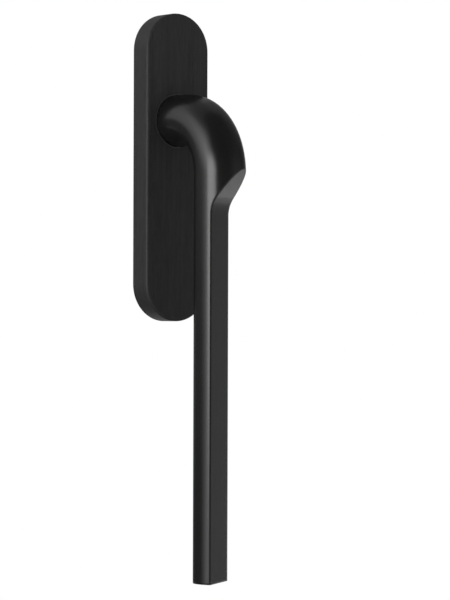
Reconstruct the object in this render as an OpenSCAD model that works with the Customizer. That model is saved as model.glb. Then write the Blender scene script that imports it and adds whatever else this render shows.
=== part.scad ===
// Lift and slide door handle: the inside lever on its long oval plate.
// The lever turns about the spindle axis, which runs along Y through the origin.
// The door's surface is the plane y = 0, the room lies towards -Y and +Z is up.
// Depths in the comments and names are measured from the door's surface into the room.

/* [Plate] */
// Height of the cover plate
plate_h = 190; // [188:1:210]
// Width of the cover plate
plate_w = 46; // [46:0.5:50]
// How far the plate stands off the door
plate_t = 15; // [15:0.25:17]
// How far the spindle axis lies above the plate's middle
spindle_up = 28.5; // [26:0.5:30]
// Round along the plate's front edge
plate_round = 1.8; // [0.6:0.1:1.8]
// Wall of the cover plate
cover_wall = 1.8; // [1.8:0.1:2]

/* [Lever] */
// Diameter of the round rod that the lever is made from
rod_d = 31.5; // [31:0.25:32]
// Distance from the door to the axis of the grip
reach = 59.5; // [58:0.5:75]
// Radius of the bend, at the rod's centre line
bend_r = 34; // [30:1:36]
// Length of the lever below the spindle axis
lever_len = 281.5; // [220:0.5:320]
// Direction that the grip's flat faces, from +X round towards the room
flat_turn = 55; // [40:1:90]
// Slope of the scooped face above the grip, from the vertical
scoop_slope = 35.5; // [30:0.5:38]
// Where the flat ends and the scoop begins, below the spindle axis
scoop_drop = 59; // [54:0.5:70]
// Radius of the hollow between the flat and the scooped face
scoop_r = 18; // [6:1:20]

/* [Door side] */
// Distance between the two fixing screws, which lie above and below the spindle
fix_pitch = 80; // [76:1:84]
// Side of the square spindle
spindle_side = 10; // [8:1:10]
// How far the spindle reaches into the door
spindle_in = 23; // [20:1:110]
// Length of the fixing screws under their heads
screw_len = 30; // [25:5:90]
// How far the support sleeves reach into the door
sleeve_in = 8; // [4:1:12]

/* [Hidden] */
$fn = 96;

satin_black = [0.15, 0.15, 0.16];
zinc = [0.62, 0.63, 0.65];
steel = [0.72, 0.73, 0.75];
spring_steel = [0.42, 0.43, 0.46];
acetal = [0.86, 0.86, 0.83];
foam = [0.20, 0.20, 0.21];

// Gaps: parts that turn, parts that are only placed, and a sliver between faces that meet
run_gap = 0.05;
set_gap = 0.3;
face_gap = 0.03;
// Overlap that lets one cut break cleanly through a face
past = 1;

// The plate's outline: two half discs joined by a straight length
plate_r = plate_w / 2;
plate_mid = -spindle_up;
plate_half = plate_h / 2 - plate_r;
cover_inner_r = plate_r - cover_wall;
cover_inner_t = plate_t - cover_wall;
base_r = cover_inner_r - 0.2;

// The lever's rod, and the stepped journal that carries it inside the plate
rod_r = rod_d / 2;
bend_depth = reach - bend_r;
shoulder_t = plate_t - 3;
journal_r = 10.5;
tail_r = 8.8;
tail_end_t = 0.6;
spindle_hole_t = bend_depth + 12;

// Layers of the bearing, from the lever's shoulder back to the door
flange_h = 1;
hub_t = shoulder_t - flange_h;
hub_r = plate_r - 3;
pocket_t = hub_t - 4.5;
pocket_r = 16.5;
bush_r = 12.5;
rear_flange_h = 0.8;
stop_front_t = pocket_t - rear_flange_h;
stop_h = 2;
stop_back_t = stop_front_t - stop_h;
spring_h = 0.8;
washer_h = 0.8;
cap_front_t = stop_back_t - spring_h;
cap_back_t = cap_front_t - washer_h;
ring_h = 0.85;
ring_groove_r = tail_r - 0.6;

// The stop disc's tab swings between two pins, half a turn apart
turn = 180;
tab_r = pocket_r - 0.5;
tab_half = 12;
pin_r = 1.5;
pin_ring = 14.4;
pin_half = asin(pin_r / pin_ring);
stop_gap = 1.2;
tab_at = 90;
pin_angles = [tab_at - tab_half - pin_half - stop_gap,
    tab_at + turn + tab_half + pin_half + stop_gap];

// Base plate: floor, bosses for the screws and seats for the cover's clips
floor_t = 3;
boss_r = 8;
boss_t = 6;
sleeve_r = 6;
sleeve_seat_t = 4;
screw_r = 3;
shank_r = 2.7;
screw_hole_r = 3.2;
lock_h = 1.6;
head_r = 5.2;
head_h = 3.4;
rail_x = 15;
rail_w = 2;
rail_t = 7;
seat_t = 5;
seat_r = 5;
seat_out = 10.5;
end_mids = [plate_mid + plate_half, plate_mid - plate_half];
pad_w = 14;
pad_len = 20;
pad_wall = 2;
pad_seat_t = 11;
pad_places = [plate_mid - 36, plate_mid - 60];
cross_ribs = [plate_mid - 23, plate_mid - 48];
seal_in_r = pocket_r + 1;
seal_out_r = hub_r - 0.8;
seal_t = 1.2;

// Spring clips: a hooked leaf at each end, which snaps into a groove in the cover's end wall
clip_w = 7;
clip_leaf = 0.8;
catch_t = 8.2;
groove_in = 0.4;
groove_h = 2.4;

// Black plastic collar in the cover's hole
collar_lip_r = 17;
collar_flange_r = 19.4;

// The grub screw that holds the spindle, under the neck
grub_r = 2.5;
grub_len = 8;
grub_depth = (plate_t + bend_depth) / 2 - 0.5;

// Height of a clip's screw at the upper (0) or lower (1) end
function seat_z(end) = end_mids[end] + (end == 0 ? seat_out : -seat_out);

// Places a flat shape, drawn in X and Z, between two depths from the door
module slab(from_t, to_t) {
    translate([0, -from_t, 0])
        rotate([90, 0, 0])
            linear_extrude(to_t - from_t)
                children();
}

// Round disc about the spindle axis, or about an axis at x, z
module disc(r, from_t, to_t, x = 0, z = 0) {
    slab(from_t, to_t)
        translate([x, z])
            circle(r);
}

// Ring about the spindle axis
module ring(in_r, out_r, from_t, to_t) {
    slab(from_t, to_t)
        difference() {
            circle(out_r);
            circle(in_r);
        }
}

// Long oval outline with its ends rounded at radius r, on the plate's own centres
module oval(r) {
    for (side = [-1, 1])
        translate([0, plate_mid + side * plate_half])
            circle(r);
    translate([-r, plate_mid - plate_half])
        square([2 * r, 2 * plate_half]);
}

// Half section of the plate: full depth at the middle, rounded at its front edge
module plate_section() {
    square([plate_r - plate_round, plate_t]);
    square([plate_r, plate_t - plate_round]);
    translate([plate_r - plate_round, plate_t - plate_round])
        circle(plate_round);
}

// Solid oval plate with a rounded front edge: two turned ends and a straight length
module plate_body() {
    for (side = [-1, 1])
        translate([0, 0, plate_mid + side * plate_half])
            rotate([90, 0, 0])
                rotate_extrude()
                    plate_section();
    translate([0, 0, plate_mid - plate_half])
        linear_extrude(2 * plate_half)
            for (side = [0, 1])
                mirror([side, 0])
                    mirror([0, 1])
                        plate_section();
}

// The rod before it is cut: straight neck, quarter bend and straight grip
module bent_rod() {
    disc(rod_r, shoulder_t, bend_depth);
    translate([0, -bend_depth, -bend_r])
        rotate([180, -90, 0])
            rotate_extrude(angle = 90)
                translate([bend_r, 0])
                    circle(rod_r);
    translate([0, -reach, -lever_len])
        cylinder(r = rod_r, h = lever_len - bend_r);
}

// Journal behind the shoulder: bearing length, two flats for the stop disc, ringed tail
module journal() {
    disc(journal_r, stop_front_t, shoulder_t + past);
    slab(stop_back_t, stop_front_t)
        flatted_circle(journal_r, tail_r);
    disc(tail_r, cap_back_t, stop_back_t);
    disc(ring_groove_r, cap_back_t - ring_h - 2 * face_gap, cap_back_t);
    disc(tail_r, tail_end_t, cap_back_t - ring_h - 2 * face_gap);
}

// Circle with two flats, at the distance flat_at from its centre
module flatted_circle(r, flat_at) {
    intersection() {
        circle(r);
        square([2 * flat_at, 2 * r], center = true);
    }
}

// Everything in front of the flat, the hollow and the scooped face, drawn from the grip's
// axis outwards (x) and upwards (y). The hollow is a true arc that runs smoothly into both
// faces; it is a hair deeper than tangent, so that it always breaks through them.
module scoop_outline() {
    far = 2 * rod_r;
    hair = 0.002;
    flat_top = -scoop_drop;
    scoop_out = scoop_r * (1 - cos(scoop_slope));
    scoop_up = flat_top + scoop_r * sin(scoop_slope);
    rise = (far - scoop_out) / tan(scoop_slope);
    translate([scoop_r, flat_top])
        circle(scoop_r + hair);
    polygon([
        [0, -lever_len - past],
        [0, flat_top],
        [scoop_r, flat_top],
        [scoop_out, scoop_up],
        [far, scoop_up + rise],
        [far, -lever_len - past]
    ]);
}

// The lever: one bent rod, cut away to half its section along the grip. The cut's faces all
// look the same way round, turned from the room towards one side, and the scooped face
// climbs out of the flat to the top of the bend.
module lever() {
    color(satin_black)
        difference() {
            union() {
                bent_rod();
                journal();
            }
            translate([0, -reach, 0])
                rotate([90, 0, -flat_turn])
                    linear_extrude(3 * rod_d, center = true)
                        scoop_outline();
            slab(tail_end_t - past, spindle_hole_t)
                square(spindle_side + 2 * face_gap, center = true);
            translate([0, -grub_depth, -rod_r - past])
                cylinder(r = grub_r + face_gap, h = rod_r + past);
        }
}

// Square steel bar that turns the gear in the door, with turned chamfers at its ends
module spindle() {
    end_round = spindle_side * 0.72;
    chamfer = 1.5;
    length = spindle_hole_t + spindle_in - set_gap;
    color(steel)
        translate([0, spindle_in, 0])
            rotate([90, 0, 0])
                intersection() {
                    translate([-spindle_side / 2, -spindle_side / 2, 0])
                        cube([spindle_side, spindle_side, length]);
                    union() {
                        cylinder(r1 = end_round - chamfer, r2 = end_round, h = chamfer);
                        translate([0, 0, chamfer])
                            cylinder(r = end_round, h = length - 2 * chamfer);
                        translate([0, 0, length - chamfer])
                            cylinder(r1 = end_round, r2 = end_round - chamfer, h = chamfer);
                    }
                }
}

// Socket set screw from under the neck, tight against the spindle
module grub_screw() {
    top = -spindle_side / 2 - face_gap;
    socket_r = 1.45;
    socket_h = 2.6;
    color(steel)
        translate([0, -grub_depth, top - grub_len])
            difference() {
                union() {
                    cylinder(r = grub_r, h = grub_len - grub_r / 2);
                    translate([0, 0, grub_len - grub_r / 2])
                        cylinder(r1 = grub_r, r2 = grub_r / 2, h = grub_r / 2);
                }
                translate([0, 0, -past])
                    cylinder(r = socket_r, h = socket_h + past, $fn = 6);
            }
}

// Flanged plastic bush in the hub's front, under the lever's shoulder
module front_bush() {
    middle = (hub_t + pocket_t) / 2 + 0.1;
    color(acetal) {
        ring(journal_r + run_gap, bush_r - face_gap, middle, hub_t);
        ring(journal_r + run_gap, rod_r - 0.4, hub_t, shoulder_t - face_gap);
    }
}

// Flanged plastic bush in the hub's back, against the stop disc
module rear_bush() {
    middle = (hub_t + pocket_t) / 2 - 0.1;
    color(acetal) {
        ring(journal_r + run_gap, bush_r - face_gap, pocket_t, middle);
        ring(journal_r + run_gap, bush_r + 0.25, stop_front_t + face_gap, pocket_t);
    }
}

// Steel disc on the journal's flats; its tab ends the lever's half turn
module stop_disc() {
    tab_edge = 2 * tab_r;
    color(steel)
        slab(stop_back_t, stop_front_t)
            difference() {
                union() {
                    circle(bush_r - 0.1);
                    intersection() {
                        circle(tab_r);
                        polygon([
                            [0, 0],
                            tab_edge * [cos(tab_at - tab_half), sin(tab_at - tab_half)],
                            tab_edge * [cos(tab_at + tab_half), sin(tab_at + tab_half)]
                        ]);
                    }
                }
                flatted_circle(journal_r + face_gap, tail_r + face_gap);
            }
}

// Two hardened pins pressed into the pocket's floor
module stop_pins() {
    color(steel)
        for (at = pin_angles)
            disc(pin_r, stop_back_t - 0.3, pocket_t + 3, pin_ring * cos(at), pin_ring * sin(at));
}

// Coned spring washer that loads the bushes, so the lever stays where it is put
module disc_spring() {
    leaf = 0.45;
    dish = spring_h - leaf - 2 * face_gap;
    in_r = tail_r + 0.2;
    out_r = bush_r - 0.2;
    color(spring_steel)
        translate([0, -cap_front_t - face_gap, 0])
            rotate([90, 0, 0])
                rotate_extrude()
                    polygon([
                        [in_r, dish],
                        [out_r, 0],
                        [out_r, leaf],
                        [in_r, dish + leaf]
                    ]);
}

// Flat washer between the coned spring and the retaining ring
module cap_washer() {
    color(steel)
        ring(tail_r + 0.1, bush_r - 0.1, cap_back_t + face_gap, cap_front_t - face_gap);
}

// Snap ring in the journal's groove, widest opposite its gap, with two eyes for the pliers
module retaining_ring() {
    back_t = cap_back_t - ring_h - face_gap;
    eye_r = 0.8;
    lug_r = 1.7;
    lug_x = 2.4;
    lug_z = -ring_groove_r - 1.9;
    color(spring_steel)
        slab(back_t, back_t + ring_h)
            difference() {
                union() {
                    translate([0, 0.5])
                        circle(ring_groove_r + 2);
                    for (side = [-1, 1])
                        translate([side * lug_x, lug_z])
                            circle(lug_r);
                }
                circle(ring_groove_r + face_gap);
                translate([-0.7, -2 * ring_groove_r])
                    square([1.4, 2 * ring_groove_r]);
                for (side = [-1, 1])
                    translate([side * lug_x, lug_z])
                        circle(eye_r);
            }
}

// Long ribs and cross ribs that stiffen the base plate
module base_ribs() {
    rail_low = plate_mid - plate_half;
    for (side = [-1, 1])
        translate([side * rail_x - rail_w / 2, -rail_t, rail_low])
            cube([rail_w, rail_t, 2 * plate_half]);
    for (z = cross_ribs)
        translate([-rail_x, -rail_t, z - rail_w / 2])
            cube([2 * rail_x, rail_t, rail_w]);
}

// Open box of ribs under each damping pad
module pad_seat() {
    for (z = pad_places)
        slab(floor_t - past, pad_seat_t)
            translate([0, z])
                difference() {
                    square([pad_w, pad_len], center = true);
                    square([pad_w - 2 * pad_wall, pad_len - 2 * pad_wall], center = true);
                }
}

// Die-cast base plate: hub with the bearing pocket, screw bosses, clip seats and ribs
module base_plate() {
    color(zinc)
        difference() {
            union() {
                slab(0, floor_t)
                    oval(base_r);
                disc(hub_r, 0, hub_t);
                base_ribs();
                pad_seat();
                for (side = [-1, 1])
                    disc(boss_r, 0, boss_t, 0, side * fix_pitch / 2);
                for (end = [0, 1])
                    disc(seat_r, 0, seat_t, 0, seat_z(end));
            }
            disc(pocket_r, -past, pocket_t);
            disc(bush_r, 0, hub_t + past);
            ring(seal_in_r, seal_out_r, -past, seal_t);
            for (at = pin_angles)
                disc(pin_r + 0.01, pocket_t - past, pocket_t + 3,
                    pin_ring * cos(at), pin_ring * sin(at));
            for (side = [-1, 1]) {
                disc(screw_hole_r, 0, boss_t + past, 0, side * fix_pitch / 2);
                disc(sleeve_r, -past, sleeve_seat_t, 0, side * fix_pitch / 2);
            }
            for (end = [0, 1])
                disc(1.25 + face_gap, -past, seat_t + past, 0, seat_z(end));
        }
}

// Cover plate: one shell, open at the door, with a hole for the neck and two catch grooves
module cover_plate() {
    groove_r = cover_inner_r + groove_in;
    color(satin_black)
        difference() {
            plate_body();
            slab(-past, cover_inner_t)
                oval(cover_inner_r);
            disc(collar_lip_r, 0, plate_t + past);
            slab(catch_t - groove_h / 2, catch_t + groove_h / 2)
                translate([-clip_w / 2 - 0.5, plate_mid - plate_half - groove_r])
                    square([clip_w + 1, 2 * (plate_half + groove_r)]);
        }
}

// Ring that centres the cover on the neck, with a lip just behind the plate's face
module neck_collar() {
    gap_r = rod_r + set_gap;
    color(satin_black) {
        ring(gap_r, collar_lip_r - face_gap, cover_inner_t, plate_t - 0.25);
        ring(gap_r, collar_flange_r, cover_inner_t - 0.9, cover_inner_t);
    }
}

// Edge of a clip, from the half disc's centre outwards: flat under its screw, then a leaf
// that rises to the end wall and turns back into its groove
module clip_edge() {
    tip = cover_inner_r + groove_in - 0.15;
    foot_in = seat_out - 4;
    foot_out = seat_out + 4;
    knee = tip - 2;
    polygon([
        [foot_in, seat_t],
        [foot_out, seat_t],
        [knee, catch_t],
        [tip, catch_t - 0.8],
        [tip, catch_t + 0.2],
        [knee - 0.2, catch_t + clip_leaf],
        [foot_out - 0.4, seat_t + clip_leaf],
        [foot_in, seat_t + clip_leaf]
    ]);
}

// Two spring clips, each screwed to its seat on the base plate
module cover_clips() {
    color(spring_steel)
        for (end = [0, 1])
            difference() {
                translate([0, 0, end_mids[end]])
                    mirror([0, 0, end])
                        rotate([180, -90, 0])
                            linear_extrude(clip_w, center = true)
                                clip_edge();
                disc(1.6, 0, cover_inner_t, 0, seat_z(end));
            }
}

// Small round-headed screws for the clips
module clip_screws() {
    head_t = seat_t + clip_leaf + face_gap;
    color(steel)
        for (end = [0, 1])
            difference() {
                union() {
                    disc(1.25, 0.4, head_t + past, 0, seat_z(end));
                    disc(2.6, head_t, head_t + 1.8, 0, seat_z(end));
                }
                slab(head_t + 0.7, head_t + 1.8 + past)
                    translate([0, seat_z(end)])
                        cross(0.7, 2.8);
            }
}

// Cross recess, bar_w wide and bar_l long
module cross(bar_w, bar_l) {
    square([bar_w, bar_l], center = true);
    square([bar_l, bar_w], center = true);
}

// Two turned sleeves, pressed into the bosses from behind. They stand in the door's holes,
// take the handle's side load off the screws, and guide them.
module support_sleeves() {
    chamfer = 0.8;
    out_r = sleeve_r - face_gap;
    length = sleeve_in + sleeve_seat_t - face_gap;
    color(steel)
        for (side = [-1, 1])
            difference() {
                translate([0, sleeve_in, side * fix_pitch / 2])
                    rotate([90, 0, 0]) {
                        cylinder(r1 = out_r - chamfer, r2 = out_r, h = chamfer);
                        translate([0, 0, chamfer])
                            cylinder(r = out_r, h = length - chamfer);
                    }
                disc(screw_hole_r, -sleeve_in - past, sleeve_seat_t + past, 0, side * fix_pitch / 2);
            }
}

// Two machine screws that clamp the base plate to the door: low round head with a hex
// socket, plain shank through the sleeve, thread at full diameter beyond it
module fixing_screws() {
    seat = boss_t + lock_h;
    tip_in = screw_len - seat;
    thread_in = sleeve_in + 0.4;
    chamfer = 0.9;
    color(steel)
        for (side = [-1, 1])
            difference() {
                union() {
                    disc(head_r, seat, seat + head_h - chamfer, 0, side * fix_pitch / 2);
                    disc(shank_r, -thread_in, seat + past, 0, side * fix_pitch / 2);
                    disc(screw_r, chamfer - tip_in, -thread_in, 0, side * fix_pitch / 2);
                    translate([0, tip_in, side * fix_pitch / 2])
                        rotate([90, 0, 0])
                            cylinder(r1 = screw_r - chamfer, r2 = screw_r, h = chamfer);
                    translate([0, chamfer - seat - head_h, side * fix_pitch / 2])
                        rotate([90, 0, 0])
                            cylinder(r1 = head_r, r2 = head_r - chamfer, h = chamfer);
                }
                slab(seat + 1, seat + head_h + past)
                    translate([0, side * fix_pitch / 2])
                        circle(r = 2.31, $fn = 6);
            }
}

// Split spring washers under the fixing screws' heads
module lock_washers() {
    split = 0.8;
    color(spring_steel)
        for (side = [-1, 1])
            slab(boss_t + face_gap, boss_t + lock_h - face_gap)
                translate([0, side * fix_pitch / 2])
                    difference() {
                        circle(head_r + 0.2);
                        circle(screw_r + 0.1);
                        rotate(35)
                            translate([0, -split / 2])
                                square([2 * head_r, split]);
                    }
}

// Foam pads between the base plate and the cover, which stop it drumming
module damping_pads() {
    color(foam)
        for (z = pad_places)
            slab(pad_seat_t + face_gap, cover_inner_t - face_gap)
                translate([0, z])
                    square([pad_w, pad_len], center = true);
}

// Foam ring in the base plate's back, round the bearing pocket
module back_seal() {
    color(foam)
        ring(seal_in_r + face_gap, seal_out_r - face_gap, 0, seal_t - face_gap);
}

lever();
spindle();
grub_screw();
front_bush();
rear_bush();
stop_disc();
stop_pins();
disc_spring();
cap_washer();
retaining_ring();
base_plate();
cover_plate();
neck_collar();
cover_clips();
clip_screws();
support_sleeves();
fixing_screws();
lock_washers();
damping_pads();
back_seal();
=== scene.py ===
from math import cos, pi, radians, sin

import bpy
from mathutils import Matrix, Vector

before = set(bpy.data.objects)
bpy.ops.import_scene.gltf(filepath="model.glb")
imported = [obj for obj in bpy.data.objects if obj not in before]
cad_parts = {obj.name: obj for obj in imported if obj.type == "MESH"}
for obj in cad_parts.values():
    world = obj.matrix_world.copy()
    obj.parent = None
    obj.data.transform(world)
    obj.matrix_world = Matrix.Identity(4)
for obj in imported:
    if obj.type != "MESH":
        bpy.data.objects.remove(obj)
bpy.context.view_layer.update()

# The camera: nearly two metres off behind a long lens, to the left of the handle and level
# with the upper part of the grip. Its place was solved from the outlines in the photo.
camera_at = Vector((-1.0587, -1.5324, -0.1177))
camera_turn = radians(-35.81)
camera_nod = radians(0.23)
camera_roll = radians(0.18)
lens = bpy.data.cameras.new("long_lens")
lens.lens = 180
lens.sensor_width = 36
lens.clip_end = 50
camera = bpy.data.objects.new("camera", lens)
bpy.context.scene.collection.objects.link(camera)
level = radians(90)
camera.matrix_world = (
    Matrix.Translation(camera_at)
    @ Matrix.Rotation(camera_turn, 4, "Z")
    @ Matrix.Rotation(level + camera_nod, 4, "X")
    @ Matrix.Rotation(camera_roll, 4, "Z")
)
bpy.context.scene.camera = camera
bpy.context.scene.view_settings.view_transform = "Standard"


# The room: plain white to the camera and in what is glossy, and a little dimmer as light on
# the handle. A broad oval soft box stands close by on the left, level with the neck.
class Wire:
    """A value on its way through a material. Sums and products on it add Math nodes."""

    def __init__(self, socket):
        self.socket = socket

    def node(self, kind, settings=(), inputs=(), out=0):
        """Adds a node beside this wire: its settings first, then its sockets' values or wires."""
        tree = self.socket.id_data
        made = tree.nodes.new(kind)
        for name, value in dict(settings).items():
            setattr(made, name, value)
        for name, value in dict(inputs).items():
            if isinstance(value, Wire):
                tree.links.new(value.socket, made.inputs[name])
            else:
                made.inputs[name].default_value = value
        return Wire(made.outputs[out])

    def math(self, operation, other):
        return self.node("ShaderNodeMath", {"operation": operation}, {0: self, 1: other})

    def __add__(self, other):
        return self.math("ADD", other)

    def __mul__(self, other):
        return self.math("MULTIPLY", other)

    __radd__ = __add__
    __rmul__ = __mul__

    def tint(self, low, high):
        """Goes from one colour to another as this wire goes from 0 to 1."""
        return self.node("ShaderNodeMix", {"data_type": "RGBA"}, {0: self, 6: low, 7: high}, 2)


def grey(tone):
    return (tone, tone, tone, 1)


room_level = 0.78
world = bpy.data.worlds.new("white_room")
bpy.context.scene.world = world
world.use_nodes = True
air = world.node_tree.nodes["Background"]
air.inputs["Color"].default_value = grey(1)
rays = world.node_tree.nodes.new("ShaderNodeLightPath")
seen = Wire(rays.outputs["Is Camera Ray"])
for kind in ("Is Glossy Ray", "Is Transmission Ray"):
    seen = seen.math("MAXIMUM", Wire(rays.outputs[kind]))
strength = room_level + (1 - room_level) * seen
world.node_tree.links.new(strength.socket, air.inputs["Strength"])

box_turn = radians(160.5)
box_distance = 1.3
box_height = 0.06
box_width = 0.88
box_rise = 0.7
box_level = 4.8
soft_light = bpy.data.lights.new("left_box", "AREA")
soft_light.shape = "ELLIPSE"
soft_light.size = box_width
soft_light.size_y = box_rise
soft_light.energy = box_level * pi * (pi / 4 * box_width * box_rise)
soft_box = bpy.data.objects.new("left_box", soft_light)
bpy.context.scene.collection.objects.link(soft_box)
soft_box.location = (cos(box_turn) * box_distance, -sin(box_turn) * box_distance, box_height)
aim = Vector((0, 0, box_height)) - soft_box.location
soft_box.rotation_euler = aim.to_track_quat("-Z", "Y").to_euler()


# The cards: curved boards hung round the handle to shade the room in its gloss, dark in front
# and brighter beside the soft box. They show in nothing but reflections.
card_middle = -0.12
far_card = 2.35
card_steps = 12


def card(name, turns, heights, shades, distance=far_card):
    """Hangs one card. turns and heights are its limits in degrees, seen from the handle.

    A turn of 0 is straight to the right and 90 straight out into the room. shades are its
    brightness at low start, low end, high start and high end, where 1 is white."""
    points = []
    tones = []
    for i in range(card_steps + 1):
        up = i / card_steps
        height = radians(heights[0] + (heights[1] - heights[0]) * up)
        for j in range(card_steps + 1):
            along = j / card_steps
            turn = radians(turns[0] + (turns[1] - turns[0]) * along)
            points.append((
                distance * cos(height) * cos(turn),
                -distance * cos(height) * sin(turn),
                distance * sin(height) + card_middle,
            ))
            low = shades[0] + (shades[1] - shades[0]) * along
            high = shades[2] + (shades[3] - shades[2]) * along
            tones.append(low + (high - low) * up)
    faces = []
    for i in range(card_steps):
        for j in range(card_steps):
            first = i * (card_steps + 1) + j
            above = first + card_steps + 1
            faces.append((first, first + 1, above + 1, above))
    board = bpy.data.meshes.new(name)
    board.from_pydata(points, [], faces)
    painted = board.color_attributes.new("tone", "FLOAT_COLOR", "POINT")
    for spot, tone in zip(painted.data, tones):
        spot.color = grey(tone)
    paint = bpy.data.materials.new(name)
    paint.use_nodes = True
    tree = paint.node_tree
    tree.nodes.clear()
    paint_tone = tree.nodes.new("ShaderNodeAttribute")
    paint_tone.attribute_name = "tone"
    shade = Wire(paint_tone.outputs["Color"])
    glow = shade.node("ShaderNodeEmission", {}, {"Color": shade})
    end = tree.nodes.new("ShaderNodeOutputMaterial")
    tree.links.new(glow.socket, end.inputs["Surface"])
    board.materials.append(paint)
    hung = bpy.data.objects.new(name, board)
    bpy.context.scene.collection.objects.link(hung)
    hung.visible_camera = False
    hung.visible_diffuse = False
    hung.visible_shadow = False


def plain(tone):
    """The four shades of a card that is the same all over."""
    return (tone, tone, tone, tone)


for name, turns, heights, shades in (
    ("back_right_card", (-45, -21), (-12, 24), (0.8, 0.5, 0.3, 0.1)),
    ("right_rim_card", (-21, 20), (-12, -9.5), (0.14, 0.14, 0.16, 0.16)),
    ("right_card", (-21, 20), (-9.5, 24), (0.18, 0.16, 0.08, 0.07)),
    ("right_front_card", (20, 62), (-12, 24), (0.38, 0.46, 0.10, 0.18)),
    ("front_right_card", (62, 84), (-12, 24), (0.33, 0.08, 0.14, 0.06)),
    ("front_card", (84, 152), (-12, 24), plain(0.06)),
    ("left_low_card", (174, 190), (-12, 8), (2.4, 0.9, 1.9, 0.9)),
    ("left_back_low_card", (190, 206), (-12, 8), (0.85, 0.27, 0.9, 0.32)),
    ("back_left_low_card", (206, 262), (-12, 8), (0.14, 0.08, 0.16, 0.08)),
    ("left_card", (174, 215), (8, 24), (3.3, 1.2, 3.5, 1.2)),
    ("back_left_card", (215, 262), (8, 24), (1.1, 0.12, 1.1, 0.2)),
    ("left_high_card", (158, 178), (24, 44), (0.5, 2.8, 0.3, 1.0)),
    ("back_left_high_card", (178, 220), (24, 44), (3.0, 1.15, 1.1, 0.95)),
    ("back_high_card", (220, 262), (24, 44), (1.0, 0.4, 0.9, 0.35)),
    ("back_upper_card", (158, 262), (44, 60), (0.4, 0.7, 0.1, 0.5)),
    ("right_high_card", (-45, 38), (24, 60), (0.16, 0.13, 0.30, 0.06)),
    ("right_front_high_card", (38, 84), (24, 60), (0.15, 0.06, 0.05, 0.05)),
    ("front_high_card", (84, 158), (24, 60), plain(0.03)),
    ("top_front_card", (0, 180), (60, 90), plain(0.05)),
    ("top_back_card", (180, 360), (60, 90), (0.3, 0.3, 0.25, 0.25)),
    ("far_back_card", (262, 315), (-12, 60), (0.12, 0.12, 0.5, 0.5)),
):
    card(name, turns, heights, shades)

# Below 12 degrees the cards hang close in, so that they stay above the floor.
card("floor_card", (200, 275), (-50, -12), plain(0.06), 0.6)
card("under_card", (0, 360), (-90, -38), plain(0.04), 0.47)
near_card = 0.95
card("left_floor_card", (172, 190), (-30, -12), (1.6, 0.8, 2.6, 1.0), near_card)
card("right_floor_card", (-21, 20), (-30, -12), plain(0.12), near_card)
card("back_right_floor_card", (-50, -21), (-30, -12), plain(1.2), near_card)


# The floor: a plain pale round board, a third of a metre below the end of the grip. It takes
# the handle's soft shadow.
floor_r = 2.4
floor_z = -0.62
floor_sides = 96
rim = [2 * pi * i / floor_sides for i in range(floor_sides)]
floor_mesh = bpy.data.meshes.new("floor")
floor_mesh.from_pydata(
    [(floor_r * cos(turn), floor_r * sin(turn), floor_z) for turn in rim],
    [],
    [tuple(range(floor_sides))],
)
floor = bpy.data.objects.new("floor", floor_mesh)
bpy.context.scene.collection.objects.link(floor)
floor_paint = bpy.data.materials.new("pale_floor")
floor_paint.use_nodes = True
floor_shader = floor_paint.node_tree.nodes["Principled BSDF"]
floor_shader.inputs["Base Color"].default_value = grey(0.8)
floor_shader.inputs["Roughness"].default_value = 0.9
floor_mesh.materials.append(floor_paint)


# The base plate: a zinc pressure die casting with the hub, the screw bosses and the ribs.
# Its skin is bare and slightly mottled, as it leaves the die. All else is built onto it.
def surface(name, metallic=0.0, specular=0.5):
    """A new material, its shader node and a wire that carries the place on the piece."""
    made = bpy.data.materials.new(name)
    made.use_nodes = True
    shader = made.node_tree.nodes["Principled BSDF"]
    shader.inputs["Metallic"].default_value = metallic
    shader.inputs["Specular IOR Level"].default_value = specular
    place = Wire(made.node_tree.nodes.new("ShaderNodeTexCoord").outputs["Object"])
    return made, shader, place


def noise(place, grains, detail):
    """Smooth noise from 0 to 1, with about so many grains to the metre."""
    return place.node("ShaderNodeTexNoise", {}, {"Vector": place, "Scale": grains, "Detail": detail})


def bump(height, depth, rounding=()):
    """Turns a height from 0 to 1 into a bent normal; depth is the full height in metres."""
    inputs = {"Strength": 1.0, "Distance": depth, "Height": height}
    inputs.update(rounding)
    return height.node("ShaderNodeBump", {}, inputs)


def feed(shader, colour, roughness, normal):
    """Joins the three wires of a finished surface to its shader."""
    links = shader.id_data.links
    links.new(colour.socket, shader.inputs["Base Color"])
    links.new(roughness.socket, shader.inputs["Roughness"])
    links.new(normal.socket, shader.inputs["Normal"])


def wear(material, *nodes):
    """Gives CAD nodes their material."""
    for node in nodes:
        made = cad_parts[node]
        made.data.materials.clear()
        made.data.materials.append(material)


def cast_zinc():
    made, shader, place = surface("cast_zinc", metallic=1.0)
    skin = noise(place, 900, 4)
    colour = skin.tint((0.30, 0.31, 0.32, 1), (0.42, 0.43, 0.44, 1))
    feed(shader, colour, skin * 0.2 + 0.4, bump(skin, 0.00006))
    return made


wear(cast_zinc(), "base_plate")


# The support sleeves: two turned steel tubes, zinc-plated bright, pressed into the bosses
# from behind. They stand in the door's holes and keep the plate from turning on the door.
def plated_steel(name, low, high):
    made, shader, place = surface(name, metallic=1.0)
    grain = noise(place, 1800, 3)
    feed(shader, grain.tint(low, high), grain * 0.15 + 0.28, bump(grain, 0.00001))
    return made


zinc_steel = plated_steel("zinc_steel", (0.48, 0.49, 0.50, 1), (0.58, 0.59, 0.61, 1))
wear(zinc_steel, "support_sleeves")


# The bushes: two flanged rings of natural acetal, moulded and pressed into the hub from the
# front and from behind. The lever's journal turns in them.
def moulded(name, low, high, roughness):
    made, shader, place = surface(name, specular=0.4)
    grain = noise(place, 1500, 3)
    feed(shader, grain.tint(low, high), grain * 0.1 + roughness, bump(grain, 0.00002))
    return made


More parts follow.
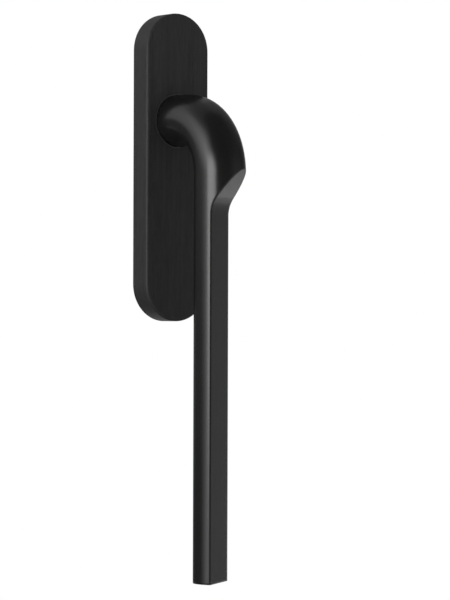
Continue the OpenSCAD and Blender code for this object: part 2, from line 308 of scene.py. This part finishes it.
acetal = moulded("acetal", (0.66, 0.66, 0.62, 1), (0.74, 0.74, 0.70, 1), 0.35)
wear(acetal, "front_bush", "rear_bush")


# The lever: one cast aluminium rod, bent through a quarter circle and milled away to half its
# section along the grip. Its edges are broken by hand before it gets a satin black coat, so
# that a fine dark line runs along them.
edge_r = 0.002


def satin_black():
    made, shader, place = surface("satin_black")
    grain = noise(place, 2600, 3)
    cloud = noise(place, 45, 2)
    colour = cloud.tint((0.0062, 0.0061, 0.0060, 1), (0.0082, 0.0080, 0.0078, 1))
    broken_edge = place.node("ShaderNodeBevel", {"samples": 8}, {"Radius": edge_r})
    normal = bump(grain, 0.000012, {"Normal": broken_edge})
    feed(shader, colour, cloud * 0.04 + grain * 0.04 + 0.21, normal)
    return made


wear(satin_black(), "lever")

# The stops: a stamped disc on the journal's flats and two hardened pins pressed into the hub.
# All are zinc-plated steel. The disc's tab meets a pin at each end of the half turn.
wear(zinc_steel, "stop_disc", "stop_pins")

# The journal's hold: a coned spring and a flat washer, kept by a snap ring in the journal's
# groove. The spring and the ring are of hardened steel, blued dark by its heat treatment.
blued_steel = plated_steel("blued_steel", (0.07, 0.075, 0.09, 1), (0.12, 0.125, 0.14, 1))
wear(blued_steel, "disc_spring", "retaining_ring")
wear(zinc_steel, "cap_washer")

# The spindle: a square bar of drawn and plated steel, which turns the door's gear. A socket
# set screw from under the neck holds it in the lever.
wear(zinc_steel, "spindle", "grub_screw")

# The fixing screws: two plated machine screws through the bosses into the door, each on a
# split spring washer of blued steel.
wear(zinc_steel, "fixing_screws")
wear(blued_steel, "lock_washers")

# The cover's clips: two bent leaves of blued spring steel, each held to the base plate by a
# small plated screw. The cover snaps over them.
wear(blued_steel, "cover_clips")
wear(zinc_steel, "clip_screws")

# The pads and the seal: closed-cell foam, stamped from sheet and glued on. The pads keep the
# cover from rattling, and the seal keeps the draught out of the bearing.
foam = moulded("foam", grey(0.015), grey(0.03), 0.85)
wear(foam, "damping_pads", "back_seal")


# The neck collar: a moulded ring of black plastic in the cover's hole, round the neck. It
# keeps the cover off the turning lever.
def black_plastic():
    made, shader, place = surface("black_plastic", specular=0.3)
    grain = noise(place, 2500, 2)
    feed(shader, grain.tint(grey(0.03), grey(0.045)), grain * 0.1 + 0.5, bump(grain, 0.00002))
    return made


wear(black_plastic(), "neck_collar")


# The cover plate: a drawn aluminium shell, brushed lengthways and then coated black, so that
# fine straight lines and short strokes run up and down its face. It is snapped on last.
long_lines = (1, 1, 0.012)
short_strokes = (1, 1, 0.16)


def brushed_black():
    made, shader, place = surface("brushed_black", specular=0.2)
    long = place.node("ShaderNodeMapping", {}, {"Vector": place, "Scale": long_lines})
    short = place.node("ShaderNodeMapping", {}, {"Vector": place, "Scale": short_strokes})
    lines = noise(long, 3500, 3) * 0.35 + noise(long, 900, 2) * 0.35 + noise(short, 1100, 2) * 0.3
    colour = lines.tint(grey(0), (0.043, 0.043, 0.0434, 1))
    feed(shader, colour, lines * 0.45 + 0.24, bump(lines, 0.00004))
    return made


wear(brushed_black(), "cover_plate")
